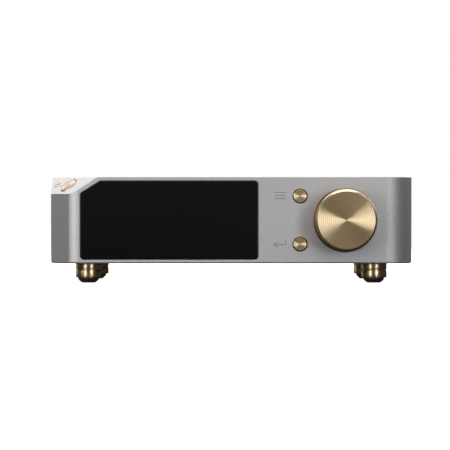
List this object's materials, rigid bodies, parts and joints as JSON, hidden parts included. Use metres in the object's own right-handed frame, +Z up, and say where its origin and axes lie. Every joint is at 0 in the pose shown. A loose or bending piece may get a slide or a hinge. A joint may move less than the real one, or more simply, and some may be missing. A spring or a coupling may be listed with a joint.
{
  "type": "desktop digital-to-analogue converter",
  "caption": "Low wide metal audio converter with a black glass display, a large turned volume knob, round push buttons, a cut front corner and turned feet.",
  "frame": {"origin": "on the surface the feet stand on, at the middle of the bounding box", "axes": "+X to the right seen from the front, -Y out of the front face, +Z up"},
  "size_m": [0.26, 0.21, 0.076],
  "materials": {
    "silver_case": "bead-blasted and clear anodised, satin",
    "gold_anodised": "gold anodised, spun concentric turning marks",
    "bronze": "turned, dark gold anodised, glossy",
    "display_glass": "black glass, flush, glossy",
    "rubber": "matt black",
    "black_metal": "fine black powder coat",
    "black_plastic": "moulded, fine texture",
    "steel": "plated",
    "brass": "gold plated, polished",
    "circuit_board": "solder mask with soldered parts",
    "winding": "taped copper winding"
  },
  "bodies": {
    "chassis": {"main_shell": "silver_case", "bottom_plate": "black_metal", "rear_panel": "silver_case", "display_glass": "display_glass", "lcd_panel": "black_plastic", "display_bracket": "steel", "encoder_body": "steel", "encoder_nut": "steel", "encoder_washer": "steel", "front_control_board": "circuit_board", "menu_switch": "black_plastic", "return_switch": "black_plastic", "power_switch": "black_plastic", "power_switch_board": "circuit_board", "foot_front_left": "bronze", "foot_front_right": "bronze", "foot_rear_left": "bronze", "foot_rear_right": "bronze", "pad_front_left": "rubber", "pad_front_right": "rubber", "pad_rear_left": "rubber", "pad_rear_right": "rubber", "foot_screw_front_left": "steel", "foot_screw_front_right": "steel", "foot_screw_rear_left": "steel", "foot_screw_rear_right": "steel", "bottom_screw_1": "steel", "bottom_screw_2": "steel", "bottom_screw_3": "steel", "bottom_screw_4": "steel", "rear_screw_1": "steel", "rear_screw_2": "steel", "rear_screw_3": "steel", "rear_screw_4": "steel", "iec_inlet": "black_plastic", "xlr_left": "black_metal", "xlr_right": "black_metal", "rca_left": "brass", "rca_right": "brass", "coax_in": "brass", "optical_in": "black_plastic", "usb_b_port": "steel", "main_board": "circuit_board", "shield_can": "steel", "psu_board": "circuit_board", "transformer": "winding", "transformer_bolt": "steel"},
    "encoder_turn": {"encoder_rotor": "black_plastic"},
    "knob": {"volume_knob": "gold_anodised", "knob_set_screw": "steel", "encoder_shaft": "steel"},
    "menu_key": {"menu_button": "gold_anodised"},
    "return_key": {"return_button": "gold_anodised"},
    "power_key": {"power_button": "gold_anodised"}
  },
  "joints": [
    {"name": "volume_turn", "type": "hinge", "parent": "chassis", "child": "encoder_turn", "pos_m": [0.0814, -0.079, 0.04525], "axis": [0, 1, 0], "continuous": true},
    {"name": "volume_press", "type": "slide", "parent": "encoder_turn", "child": "knob", "axis": [0, 1, 0], "range_m": [0, 0.0005], "stiffness_N_per_m": 1500, "springref_m": -0.0015},
    {"name": "menu_press", "type": "slide", "parent": "chassis", "child": "menu_key", "axis": [0, 1, 0], "range_m": [0, 0.0006], "stiffness_N_per_m": 400, "springref_m": -0.002},
    {"name": "return_press", "type": "slide", "parent": "chassis", "child": "return_key", "axis": [0, 1, 0], "range_m": [0, 0.0006], "stiffness_N_per_m": 400, "springref_m": -0.002},
    {"name": "power_press", "type": "slide", "parent": "chassis", "child": "power_key", "axis": [0.4977, 0.3842, -0.7776], "range_m": [0, 0.0008], "stiffness_N_per_m": 400, "springref_m": -0.002}
  ]
}
